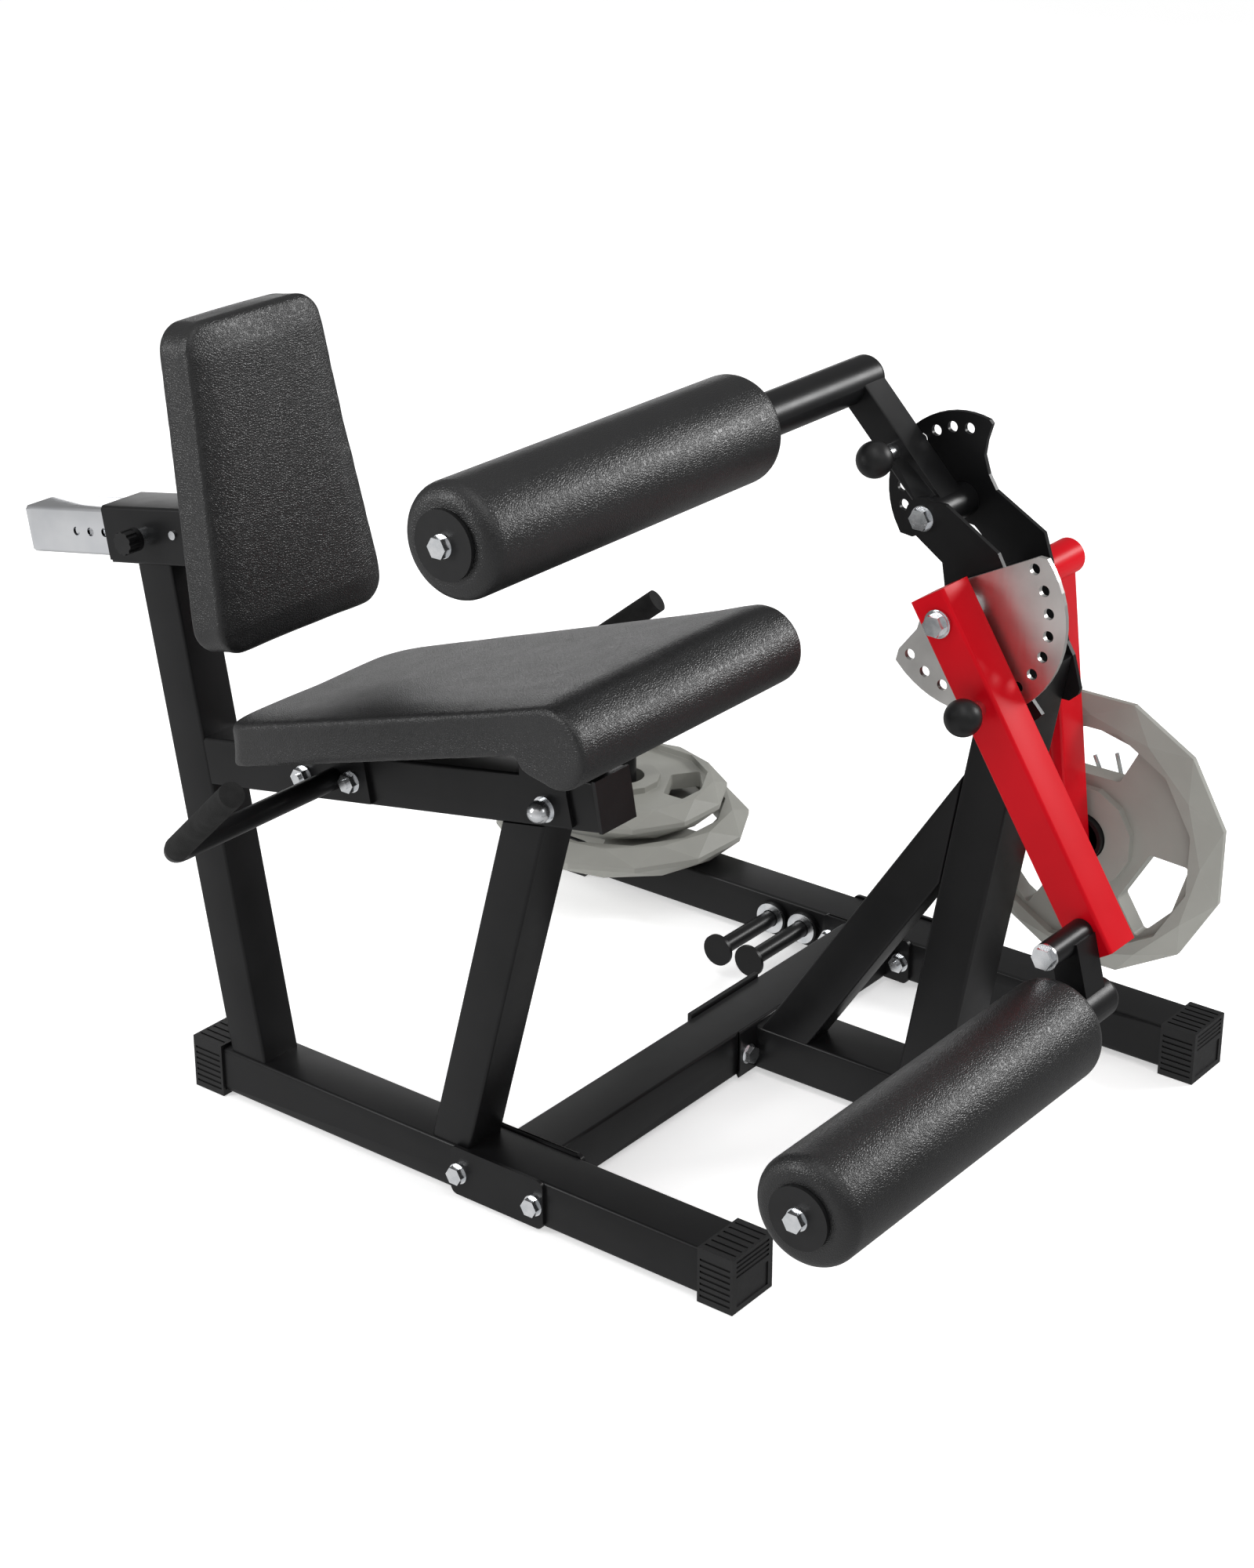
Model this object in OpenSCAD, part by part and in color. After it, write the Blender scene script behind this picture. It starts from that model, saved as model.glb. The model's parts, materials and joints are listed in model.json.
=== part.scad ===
// Leg extension machine: a seat with a sliding backrest, and a lever that swings on a tower.
// +X points to where the user's feet go, +Y to the user's left, +Z up.
// The origin is on the floor, under the middle of the base.

/* [Base] */
// Width of the two floor tubes
floor_tube_w = 58; // [54:1:62]
// Height of the floor tubes
floor_tube_h = 50; // [46:1:54]
// Gap between the floor and the floor tubes
floor_gap = 6.5; // [5:0.5:8]
// Distance from the middle plane to the centre of each floor tube
floor_tube_y = 324.3; // [318:0.5:326]
// Rear end of the near floor tube
near_rear_x = -348; // [-360:1:-340]
// Front end of the near floor tube
near_front_x = 356; // [340:1:380]
// Rear end of the far floor tube
far_rear_x = -380; // [-390:1:-376]
// Front end of the far floor tube
far_front_x = 486.5; // [460:0.5:500]
// Centre of the cross tube along X
cross_x = 70; // [66:1:74]
// Width of the cross tube
cross_w = 60; // [56:1:62]
// Wall of the square tubes
wall = 3; // [2:0.5:3]

/* [Seat frame] */
// Sideways place of the seat's centre plane
seat_y = -325.4; // [-327:0.1:-323]
// Width of the posts and of the seat tube
post_w = 50; // [48:1:52]
// Rise of the seat tube for each millimetre forward
seat_rise = 0.1774; // [0.17:0.001:0.18]
// Height of the seat tube's top at X = 0
seat_tube_z = 462.9; // [460:0.1:466]
// Tilt of the backrest slide
back_tilt = 10; // [9.5:0.5:10.5]
// Outer width of the backrest receiver
receiver_w = 58.5; // [58:0.5:60]
// Width of the square adjusting tube
slide_w = 48; // [47:0.5:48]
// Pitch of the adjusting holes
slide_pitch = 20.98; // [20.5:0.01:21.2]

/* [Pads] */
// Thickness of the seat
seat_t = 44; // [40:1:46]
// Half width of the seat at its rear
seat_half_rear = 128; // [120:1:134]
// Half width of the seat at its front
seat_half_front = 166; // [158:1:170]
// Radius of the roll at the seat's front
seat_roll_r = 38; // [36:1:40]
// Thickness of the backrest
back_t = 44.5; // [40:0.5:46]
// Half width of the backrest at its bottom
back_half_low = 117; // [110:1:124]
// Half width of the backrest at its top
back_half_top = 89; // [80:1:96]
// Radius of the roller pads
roller_r = 51.5; // [48:0.5:52]

/* [Lever] */
// X of the main pivot
pivot_x = 353; // [352:0.5:354]
// Z of the main pivot
pivot_z = 594; // [593:0.5:595]
// X of the upper arm's pivot
upper_x = 290; // [289:0.5:291]
// Z of the upper arm's pivot
upper_z = 665.4; // [665:0.2:666]
// Direction of the roller arm
roller_arm_dir = -57.4; // [-58:0.1:-57]
// Direction of the weight arm
weight_arm_dir = -82.74; // [-83:0.1:-82]
// Direction of the upper arm
upper_arm_dir = 134.2; // [134:0.1:135]
// Radius of the selector disc
disc_r = 105.5; // [104:0.5:108]
// Radius of the selector disc's circle of holes
disc_hole_circle = 87.65; // [87:0.05:88]
// Angle between two holes of the selector disc
disc_step = 14.43; // [14.3:0.01:14.5]

/* [Weights] */
// Radius of the large plates, to the corners
plate_r = 153; // [145:1:156]
// Radius of the small stored plate, to the corners
small_plate_r = 126; // [115:1:130]
// Thickness of the plates
plate_t = 38; // [34:1:40]
// Radius of the weight horn
horn_r = 24.5; // [24:0.1:24.8]

/* [Hidden] */
$fn = 64;

steel_black = [0.12, 0.12, 0.13];
steel_red = [0.8, 0.05, 0.11];
bare_steel = [0.72, 0.71, 0.7];
chrome = [0.85, 0.86, 0.88];
rubber_black = [0.06, 0.06, 0.06];
pad_black = [0.1, 0.1, 0.1];
plate_grey = [0.58, 0.58, 0.56];

play = 0.05;          // radial running clearance of pins and shafts
soft_gap = 0.3;       // gap between a soft pad and its neighbours
over = 1;             // extra length of a cut

// Base heights and the joints of the base
floor_tube_top = floor_gap + floor_tube_h;
cap_len = 41;
cap_lip = 3;
cap_top = floor_tube_top + 3.3;
cap_wall = 4;
tube_in_y = floor_tube_y - floor_tube_w / 2;
tube_out_y = floor_tube_y + floor_tube_w / 2;
joint_bolt_x = [cross_x - 48, cross_x + 48];
joint_bolt_z = 30;
joint_plate_l = 118;
joint_plate_h = 54;
inner_flange_t = 5;
outer_plate_t = 4;
bolt_r = 5;
hex_flats = 17;
washer_r = 11;
washer_t = 2;

// Tower
tower_y0 = 29.2;
tower_y1 = 96.5;
tower_mid_y = (tower_y0 + tower_y1) / 2;
head_t = 5;
tower_slope = 0.1719;
tower_back_x = 283;
tower_front_x = 336.8;
tower_top = 535;
brace_y1 = 69.5;
foot_flange_x = cross_x + cross_w / 2;
foot_bolt_y = [tower_mid_y - 48, tower_mid_y + 48];
foot_tube_end_x = 350;

// Seat frame
lean = tan(10);
rear_post_x = [-298, -249];
front_post_slope = 1 / tan(75.1);
front_post_x = [-18.6, 30.3];
seat_angle = atan(seat_rise);
seat_tube_dz = post_w / cos(seat_angle);
seat_front_x = 187;
seat_cap_t = 4;
front_plate_t = 4.5;
dome_nut = [136, 457];
post_y0 = seat_y - post_w / 2;
post_y1 = seat_y + post_w / 2;
handle_plate_t = 5;
handle_x = -126.4;
handle_r = 10.7;
grip_r = 11.8;
handle_bend_r = 25;
grip_start = 20;
grip_wall_end = 3;
handle_bend = [handle_x, 248, 416.1];
handle_end = [12, 300.3, 533];
handle_bolt_x = [-166.6, -103.7];

// Backrest slide, in the tilted frame: distance forward s and height w
slide_w_mid = 664.4;
receiver_s0 = -317.6;
receiver_s1 = -180.4;
slide_s0 = -439.5;
slide_s1 = -131.5;
back_plate_t = 5;
pin_s = -262.3;
slide_hole_r = 4.6;
pin_r = 4;
back_w0 = 570;
back_w1 = 887;
back_corner_r = 30;

// Seat pad
seat_slope = 0.325;
seat_top_z = 547.3;
seat_rear_x = -183;
seat_roll_x = 250;
seat_pad_angle = atan(seat_slope);
seat_roll_z = seat_top_z + seat_slope * seat_roll_x - seat_roll_r / cos(seat_pad_angle);
seat_low_z = seat_top_z - seat_t / cos(seat_pad_angle);

// Lever
axle_r = 12.5;
axle_y0 = -42.6;
axle_y1 = 185;
arm_y0 = -42;
arm_y1 = 3;
disc_y0 = 9;
disc_y1 = 14;
disc_hole_r = 5.5;
roller_arm_w = 41;
roller_arm_back = 28;
roller_arm_len = 345;
link_pivot_r = 316;
link_tube_r = 13;
link_bolt_r = 8;
lower_roller = [541, 262];
lower_roller_y0 = -521;
lower_roller_y1 = -105;
shaft_r = 20.7;
pop_pin_r = 5;
knob_r = 18;
upper_roller = [184, 772];
upper_roller_y0 = -535;
upper_roller_y1 = -124;
upper_shaft_end_y = 86;
upper_arm_y0 = 45;
upper_arm_y1 = 80;
upper_arm_w = 31;
fan_hole_circle = 70.8;
fan_r = 86.4;
hub_r = 18;
hub_y0 = 102.5;
hub_y1 = 195.5;
weight_arm_y0 = 147;
weight_arm_y1 = 190;
horn = [388, 299];
horn_len = 150;
plate_y0 = 197;
storage = [-304.5, 324];
storage_disc_t = 3.5;
storage_top = 262;
storage_r = 16;

// Basic shapes -----------------------------------------------------------------------------

module rod_y(x, z, r, y0, y1) {
  translate([x, y0, z]) rotate([-90, 0, 0]) cylinder(h = y1 - y0, r = r);
}

module rod_x(y, z, r, x0, x1) {
  translate([x0, y, z]) rotate([0, 90, 0]) cylinder(h = x1 - x0, r = r);
}

module hex_y(x, z, y0, y1, flats = hex_flats) {
  translate([x, y0, z]) rotate([-90, 0, 0]) cylinder(h = y1 - y0, r = flats / 2 / cos(30), $fn = 6);
}

module hex_x(y, z, x0, x1, flats = hex_flats) {
  translate([x0, y, z]) rotate([0, 90, 0]) cylinder(h = x1 - x0, r = flats / 2 / cos(30), $fn = 6);
}

// Round bar between two points
module rod_between(p, q, r, start = 0, stop = 0) {
  d = q - p;
  length = norm(d);
  translate(p)
    rotate([0, acos(d[2] / length), atan2(d[1], d[0])])
      translate([0, 0, start]) cylinder(h = length - start - stop, r = r);
}

// Outline in X and Z, as thick as from y0 to y1
module slab_y(y0, y1) {
  translate([0, y1, 0]) rotate([90, 0, 0]) linear_extrude(y1 - y0) children();
}

// Square bar that starts at a point in X and Z and runs at an angle
module beam(start, angle, length, w, y0, y1) {
  translate([start[0], y0, start[1]])
    rotate([0, -angle, 0])
      translate([0, 0, -w / 2]) cube([length, y1 - y0, w]);
}

module hollow_beam(start, angle, length, w, y0, y1) {
  difference() {
    beam(start, angle, length, w, y0, y1);
    translate([wall * cos(angle), 0, wall * sin(angle)])
      beam(start, angle, length - 2 * wall, w - 2 * wall, y0 + wall, y1 - wall);
  }
}

function way(p, q) = (q - p) / norm(q - p);
function half_turn(p, a, b) = acos(way(p, a) * way(p, b)) / 2;
function round_cut(p, a, b, r) = p + way(p, a) * r / tan(half_turn(p, a, b));
function round_mid(p, a, b, r) =
  let (bisector = way(p, a) + way(p, b))
  p + bisector / norm(bisector) * r / sin(half_turn(p, a, b));

// Convex outline with every corner rounded to r
module rounded(points, r) {
  n = len(points);
  polygon([
    for (i = [0 : n - 1])
      let (p = points[i], a = points[(i + n - 1) % n], b = points[(i + 1) % n])
        each [round_cut(p, a, b, r), round_cut(p, b, a, r)]
  ]);
  for (i = [0 : n - 1])
    translate(round_mid(points[i], points[(i + n - 1) % n], points[(i + 1) % n], r)) circle(r);
}

function box_points(x0, x1, z0, z1) = [[x0, z0], [x1, z0], [x1, z1], [x0, z1]];
function polar(centre, r, angle) = centre + r * [cos(angle), sin(angle)];

// Point where a post edge from p meets the line through q that rises with X
function meet(p, slope, q, rise) =
  let (x = (p[0] + slope * (q[1] - rise * q[0] - p[1])) / (1 - slope * rise))
  [x, q[1] + rise * (x - q[0])];

// Hollow leaning post from the height foot_z up to the line through q: open is how far its hollow runs past that end
module post(foot_x, foot_z, slope, q, rise, y0, y1, open = over) {
  left = [foot_x[0], foot_z];
  right = [foot_x[1], foot_z];
  high = q + [0, open];
  inner_left = left + [wall - over * slope, -over];
  inner_right = right + [-wall - over * slope, -over];
  difference() {
    slab_y(y0, y1) polygon([left, right, meet(right, slope, q, rise), meet(left, slope, q, rise)]);
    slab_y(y0 + wall, y1 - wall)
      polygon([inner_left, inner_right, meet(inner_right, slope, high, rise), meet(inner_left, slope, high, rise)]);
  }
}

// Tilted frame of the backrest slide
module slide_frame() {
  rotate([0, -back_tilt, 0]) children();
}

// Base -------------------------------------------------------------------------------------

module joint_bores(y0, y1) {
  for (x = joint_bolt_x) rod_y(x, joint_bolt_z, bolt_r + play, y0, y1);
}

module floor_tube(x0, x1) {
  tube_x0 = x0 + cap_wall;
  tube_len = x1 - x0 - 2 * cap_wall;
  difference() {
    translate([tube_x0, tube_in_y, floor_gap]) cube([tube_len, floor_tube_w, floor_tube_h]);
    translate([tube_x0 - over, tube_in_y + wall, floor_gap + wall])
      cube([tube_len + 2 * over, floor_tube_w - 2 * wall, floor_tube_h - 2 * wall]);
    joint_bores(tube_in_y - over, tube_out_y + over);
  }
}

module near_base_tube() {
  color(steel_black) mirror([0, 1, 0]) floor_tube(near_rear_x, near_front_x);
}

module far_base_tube() {
  color(steel_black) floor_tube(far_rear_x, far_front_x);
}

// Ribbed plastic cap whose closed end is at X = 0 and whose open end faces -X
module foot_cap() {
  groove = 1.3;
  rib = 2.4;
  half = floor_tube_w / 2 + cap_lip;
  side_pitch = 6.6;
  difference() {
    translate([-cap_len, -half, 0]) cube([cap_len, 2 * half, cap_top]);
    translate([-cap_len - over, -floor_tube_w / 2, floor_gap])
      cube([cap_len + over - cap_wall, floor_tube_w, floor_tube_h]);
    for (i = [-2.5 : 2.5])
      translate([-cap_len + 3, i * 9.4 - rib / 2, cap_top - groove]) cube([cap_len - 6, rib, groove + over]);
    for (i = [1 : 7])
      for (side = [-1, 1])
        translate([-cap_len + 3, side * half - groove, i * side_pitch]) cube([cap_len - 6, 2 * groove, rib]);
    for (i = [0 : 3])
      translate([-groove, -half + 6, cap_top - 6 - i * 5.2]) cube([groove + over, 2 * half - 12, rib]);
    translate([-groove, -half + 7, 6]) cube([groove + over, 2 * half - 14, 26]);
  }
}

module foot_caps() {
  color(rubber_black) {
    translate([near_front_x, -floor_tube_y, 0]) foot_cap();
    translate([far_front_x, floor_tube_y, 0]) foot_cap();
    translate([near_rear_x, -floor_tube_y, 0]) mirror([1, 0, 0]) foot_cap();
    translate([far_rear_x, floor_tube_y, 0]) mirror([1, 0, 0]) foot_cap();
  }
}

module joint_plate(y0, y1) {
  difference() {
    slab_y(y0, y1)
      rounded(box_points(cross_x - joint_plate_l / 2, cross_x + joint_plate_l / 2, 4.5, 4.5 + joint_plate_h), 8);
    joint_bores(y0 - over, y1 + over);
  }
}

module foot_bores(x0, x1) {
  for (y = foot_bolt_y) rod_x(y, joint_bolt_z, bolt_r + play, x0, x1);
}

module cross_tube() {
  length = 2 * (tube_in_y - inner_flange_t);
  color(steel_black) {
    difference() {
      translate([cross_x - cross_w / 2, -length / 2, floor_gap]) cube([cross_w, length, floor_tube_h]);
      translate([cross_x - cross_w / 2 + wall, -length / 2 - over, floor_gap + wall])
        cube([cross_w - 2 * wall, length + 2 * over, floor_tube_h - 2 * wall]);
      foot_bores(cross_x - cross_w / 2 - over, cross_x + cross_w / 2 + over);
    }
    joint_plate(length / 2, tube_in_y);
    joint_plate(-tube_in_y, -length / 2);
  }
}

module foot_flange(x0, x1) {
  difference() {
    translate([x0, tower_mid_y - 61, 5]) cube([x1 - x0, 122, 55]);
    foot_bores(x0 - over, x1 + over);
  }
}

module clamp_plates() {
  color(steel_black) {
    joint_plate(-tube_out_y - outer_plate_t, -tube_out_y);
    joint_plate(tube_out_y, tube_out_y + outer_plate_t);
    foot_flange(cross_x - cross_w / 2 - 5, cross_x - cross_w / 2);
  }
}

// Hex bolt along Y: the head is beyond y0, the thread ends at y1
module bolt_y(x, z, y0, y1, r = bolt_r) {
  s = y1 > y0 ? 1 : -1;
  rod_y(x, z, washer_r, min(y0, y0 - s * washer_t), max(y0, y0 - s * washer_t));
  hex_y(x, z, min(y0 - s * washer_t, y0 - s * 9), max(y0 - s * washer_t, y0 - s * 9));
  rod_y(x, z, r, min(y0, y1), max(y0, y1));
}

// Nut and washer on a bolt along Y, from y0 outward to one side
module nut_y(x, z, y0, side) {
  y1 = y0 + side * washer_t;
  y2 = y1 + side * 8;
  difference() {
    union() {
      rod_y(x, z, washer_r, min(y0, y1), max(y0, y1));
      hex_y(x, z, min(y1, y2), max(y1, y2));
    }
    rod_y(x, z, bolt_r, min(y0, y2) - over, max(y0, y2) + over);
  }
}

module base_bolts() {
  head_y = tube_out_y + outer_plate_t;
  thread_y = tube_in_y - inner_flange_t - 14;
  color(chrome) {
    for (x = joint_bolt_x) {
      bolt_y(x, joint_bolt_z, head_y, thread_y);
      bolt_y(x, joint_bolt_z, -head_y, -thread_y);
    }
    for (y = foot_bolt_y) {
      rod_x(y, joint_bolt_z, bolt_r, cross_x - cross_w / 2 - 19, foot_flange_x + 5);
      rod_x(y, joint_bolt_z, washer_r, foot_flange_x + 5, foot_flange_x + 5 + washer_t);
      hex_x(y, joint_bolt_z, foot_flange_x + 5 + washer_t, foot_flange_x + 14);
    }
  }
}

module base_nuts() {
  nut_at_y = tube_in_y - inner_flange_t;
  nut_at_x = cross_x - cross_w / 2 - 5;
  color(chrome) {
    for (x = joint_bolt_x) {
      nut_y(x, joint_bolt_z, nut_at_y, -1);
      nut_y(x, joint_bolt_z, -nut_at_y, 1);
    }
    for (y = foot_bolt_y)
      difference() {
        union() {
          rod_x(y, joint_bolt_z, washer_r, nut_at_x - washer_t, nut_at_x);
          hex_x(y, joint_bolt_z, nut_at_x - washer_t - 8, nut_at_x - washer_t);
        }
        rod_x(y, joint_bolt_z, bolt_r, nut_at_x - 14, nut_at_x + over);
      }
  }
}

module band_peg_positions() {
  for (x = [-59.8, -16.4]) translate([x, 0, 31.5]) children();
}

module band_pegs() {
  color(steel_black) band_peg_positions() {
    rod_y(0, 0, 9.6, 188, tube_in_y);
    rod_y(0, 0, 18.6, 184, 188);
    rod_y(0, 0, 19.8, tube_in_y - 6, tube_in_y);
  }
}

module peg_washers() {
  color(chrome) band_peg_positions()
    difference() {
      rod_y(0, 0, 18.2, tube_in_y - 8.5, tube_in_y - 6);
      rod_y(0, 0, 10.4, tube_in_y - 9, tube_in_y - 5.5);
    }
}

// Seat frame -------------------------------------------------------------------------------

receiver_low = [0, (slide_w_mid - receiver_w / 2) / cos(back_tilt)];

module rear_post() {
  color(steel_black) post(rear_post_x, floor_tube_top, -lean, receiver_low, lean, post_y0, post_y1);
}

module front_post() {
  color(steel_black)
    post(front_post_x, floor_tube_top, front_post_slope, [0, seat_tube_z - seat_tube_dz], seat_rise, post_y0, post_y1);
}

module handle_bores() {
  for (x = handle_bolt_x)
    rod_y(x, seat_mid_z(x), bolt_r + play, post_y0 - 10, post_y1 + 10);
}

function seat_mid_z(x) = seat_tube_z - seat_tube_dz / 2 + seat_rise * x;

module seat_tube() {
  foot = [rear_post_x[1], floor_tube_top];
  top = [0, seat_tube_z];
  low = [0, seat_tube_z - seat_tube_dz];
  dz = wall / cos(seat_angle);
  front_top = [seat_front_x, seat_tube_z + seat_rise * seat_front_x];
  front_low = front_top + post_w * [sin(seat_angle), -cos(seat_angle)];
  past = over * [cos(seat_angle), sin(seat_angle)];
  back = [-over, 0];
  color(steel_black)
    difference() {
      slab_y(post_y0, post_y1)
        polygon([meet(foot, -lean, low, seat_rise), front_low, front_top, meet(foot, -lean, top, seat_rise)]);
      slab_y(post_y0 + wall, post_y1 - wall)
        polygon([
          meet(foot + back, -lean, low + [0, dz], seat_rise), front_low + past + [0, dz],
          front_top + past - [0, dz], meet(foot + back, -lean, top - [0, dz], seat_rise)
        ]);
      handle_bores();
      rod_y(dome_nut[0], dome_nut[1], bolt_r + play, post_y0 - over, post_y1 + over);
    }
}

module seat_tube_cap() {
  start = [seat_front_x, seat_tube_z + seat_rise * seat_front_x]
    + post_w / 2 * [sin(seat_angle), -cos(seat_angle)];
  color(rubber_black) {
    beam(start, seat_angle, seat_cap_t, post_w, post_y0, post_y1);
    beam(start - 15 * [cos(seat_angle), sin(seat_angle)], seat_angle, 15, post_w - 2 * wall,
      post_y0 + wall, post_y1 - wall);
  }
}

// Channel that carries the seat, open to the front and rear
module seat_bracket(x0, x1) {
  top_z = seat_low_z;
  under = [[x0, seat_tube_z + seat_rise * x0], [x1, seat_tube_z + seat_rise * x1]];
  upper = [[x1, top_z + seat_slope * x1], [x0, top_z + seat_slope * x0]];
  difference() {
    slab_y(post_y0, post_y1) polygon(concat(under, upper));
    slab_y(post_y0 + 5, post_y1 - 5)
      polygon([under[0] - [over, over], under[1] + [over, -over], upper[0] + [over, -6], upper[1] - [over, 6]]);
  }
}

module seat_bracket_rear() {
  color(steel_black) seat_bracket(-155, -105);
}

// Two side plates bolted to the seat tube, joined by a plate under the seat
module seat_bracket_front() {
  x0 = 106;
  x1 = 161;
  top0 = seat_low_z + seat_slope * x0;
  top1 = seat_low_z + seat_slope * x1;
  y0 = post_y0 - front_plate_t;
  y1 = post_y1 + front_plate_t;
  color(steel_black)
    difference() {
      union() {
        for (y = [y0, post_y1])
          slab_y(y, y + front_plate_t)
            polygon([[112, 437], [168, 447], [161, 478], [x1, top1], [x0, top0], [x0, 460]]);
        slab_y(y0, y1) polygon([[x0, top0 - 5], [x1, top1 - 5], [x1, top1], [x0, top0]]);
      }
      rod_y(dome_nut[0], dome_nut[1], bolt_r + play, y0 - over, y1 + over);
    }
}

module seat_pad() {
  front_x = seat_roll_x + seat_roll_r;
  low_front = seat_roll_x - 38;
  color(pad_black)
    intersection() {
      slab_y(seat_y - 180, seat_y + 180) {
        polygon([
          [seat_rear_x, seat_low_z + seat_slope * seat_rear_x],
          [low_front - 8, seat_low_z + seat_slope * (low_front - 8)],
          [low_front, seat_roll_z - seat_roll_r + 5.5],
          [seat_roll_x - 10, seat_roll_z - seat_roll_r + 1.4],
          [seat_roll_x, seat_roll_z],
          [seat_roll_x - seat_roll_r * sin(seat_pad_angle), seat_roll_z + seat_roll_r * cos(seat_pad_angle)],
          [seat_rear_x, seat_top_z + seat_slope * seat_rear_x]
        ]);
        translate([seat_roll_x, seat_roll_z]) circle(seat_roll_r);
      }
      translate([0, seat_y, 400])
        linear_extrude(400)
          rounded([
            [seat_rear_x, -seat_half_rear], [front_x + 40, -seat_half_front],
            [front_x + 40, seat_half_front], [seat_rear_x, seat_half_rear]
          ], 35);
    }
}

module receiver() {
  half = receiver_w / 2;
  hole = slide_w / 2 + 0.2;
  color(steel_black) slide_frame()
    difference() {
      translate([receiver_s0, seat_y - half, slide_w_mid - half])
        cube([receiver_s1 - receiver_s0, receiver_w, receiver_w]);
      translate([receiver_s0 - over, seat_y - hole, slide_w_mid - hole])
        cube([receiver_s1 - receiver_s0 + 2 * over, 2 * hole, 2 * hole]);
      rod_y(pin_s, slide_w_mid, pin_r + play, seat_y - half - over, seat_y - 20);
    }
}

// Handle bolts with nuts, the front dome nut, the receiver's screw and the pin's threaded collar
module seat_frame_fasteners() {
  bolt_y0 = post_y1 + handle_plate_t;
  nut_at = post_y0 - handle_plate_t;
  collar_y = seat_y - receiver_w / 2;
  color(chrome) {
    for (x = handle_bolt_x) {
      bolt_y(x, seat_mid_z(x), bolt_y0, nut_at - 13);
      nut_y(x, seat_mid_z(x), nut_at, -1);
    }
    rod_y(dome_nut[0], dome_nut[1], bolt_r, post_y0 - 10, post_y1 + front_plate_t);
    hex_y(dome_nut[0], dome_nut[1], post_y1 + front_plate_t, post_y1 + front_plate_t + 8);
    dome_nut_cap();
    slide_frame() {
      difference() {
        rod_y(pin_s, slide_w_mid, 9, collar_y - 8, collar_y);
        rod_y(pin_s, slide_w_mid, pin_r + play, collar_y - 9, collar_y + over);
      }
      rod_y(-218, slide_w_mid + 3, 4.5, collar_y - 2.5, collar_y);
    }
  }
}

// Washer and domed cap of the bolt at the front of the seat tube
module dome_nut_cap() {
  translate([dome_nut[0], post_y0 - front_plate_t, dome_nut[1]])
    rotate([90, 0, 0])
      rotate_extrude()
        difference() {
          union() {
            square([12.6, washer_t]);
            square([10.2, 9]);
            intersection() {
              translate([0, 8.5]) circle(11.2);
              translate([0, 8.5]) square([12, 12]);
            }
          }
          translate([0, -over]) square([bolt_r, 10 - front_plate_t + over]);
        }
}

module adjusting_tube() {
  half = slide_w / 2;
  color(chrome) slide_frame()
    difference() {
      translate([slide_s0, seat_y - half, slide_w_mid - half]) cube([slide_s1 - slide_s0, slide_w, slide_w]);
      translate([slide_s0 - over, seat_y - half + wall, slide_w_mid - half + wall])
        cube([slide_s1 - slide_s0 + 2 * over, slide_w - 2 * wall, slide_w - 2 * wall]);
      for (k = [-5 : 2])
        rod_y(pin_s + k * slide_pitch, slide_w_mid, slide_hole_r, seat_y - half - over, seat_y + half + over);
    }
}

module backrest_plate() {
  color(steel_black) slide_frame()
    translate([slide_s1, seat_y - 70, slide_w_mid - 50]) cube([back_plate_t, 140, 120]);
}

module backrest_pad() {
  s0 = slide_s1 + back_plate_t;
  color(pad_black) slide_frame()
    translate([s0, seat_y, 0])
      rotate([90, 0, 90])
        linear_extrude(back_t)
          rounded([
            [-back_half_low, back_w0], [back_half_low, back_w0],
            [back_half_top, back_w1], [-back_half_top, back_w1]
          ], back_corner_r);
}

module receiver_pin() {
  color(chrome) slide_frame()
    rod_y(pin_s, slide_w_mid, pin_r, seat_y - receiver_w / 2 - 20, seat_y - slide_w / 2 - 0.5);
}

module receiver_pin_knob() {
  y1 = seat_y - receiver_w / 2 - 10;
  y0 = y1 - 18.5;
  flutes = 10;
  color(rubber_black) slide_frame()
    difference() {
      rod_y(pin_s, slide_w_mid, 12, y0, y1);
      rod_y(pin_s, slide_w_mid, pin_r, y1 - 10, y1 + over);
      for (i = [0 : flutes - 1])
        rod_y(pin_s + 13 * cos(i * 360 / flutes), slide_w_mid + 13 * sin(i * 360 / flutes), 2.4, y0 - over, y1 - 5);
    }
}

// Handles: side is 1 for the user's left and -1 for the right
module handle_side(side) {
  translate([0, seat_y, 0]) facing(side) children();
}

module facing(side) {
  if (side > 0) children();
  else mirror([0, 1, 0]) children();
}

// Tube that runs out sideways and bends forward and up
module handle_tube() {
  d = way(handle_bend, handle_end);
  turn = acos(d[1]);
  rise = atan2(d[2], d[0]);
  back = handle_bend_r * tan(turn / 2);
  lap = 0.5;
  mid = handle_bend + [handle_bend_r * cos(rise), -back, handle_bend_r * sin(rise)];
  color(steel_black) {
    rod_y(handle_x, handle_bend[2], handle_r, post_w / 2 + handle_plate_t, handle_bend[1] - back + lap);
    translate(mid) rotate([0, 180 - rise, 0])
      rotate_extrude(angle = turn) translate([handle_bend_r, 0]) circle(handle_r + play);
    rod_between(handle_bend, handle_end, handle_r, back - lap, grip_wall_end);
  }
}

module handle_grip() {
  color(rubber_black)
    difference() {
      rod_between(handle_bend, handle_end, grip_r, grip_start);
      rod_between(handle_bend, handle_end, handle_r, grip_start - over, grip_wall_end);
    }
}

module handle_tube_left() {
  handle_side(1) handle_tube();
}

module handle_tube_right() {
  handle_side(-1) handle_tube();
}

module grip_left() {
  handle_side(1) handle_grip();
}

module grip_right() {
  handle_side(-1) handle_grip();
}

module handle_plates() {
  start = [-190, seat_mid_z(-190)];
  color(steel_black)
    difference() {
      for (y = [post_y0 - handle_plate_t, post_y1])
        beam(start, seat_angle, 107.6, 44, y, y + handle_plate_t);
      handle_bores();
    }
}

// Tower ------------------------------------------------------------------------------------

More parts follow.
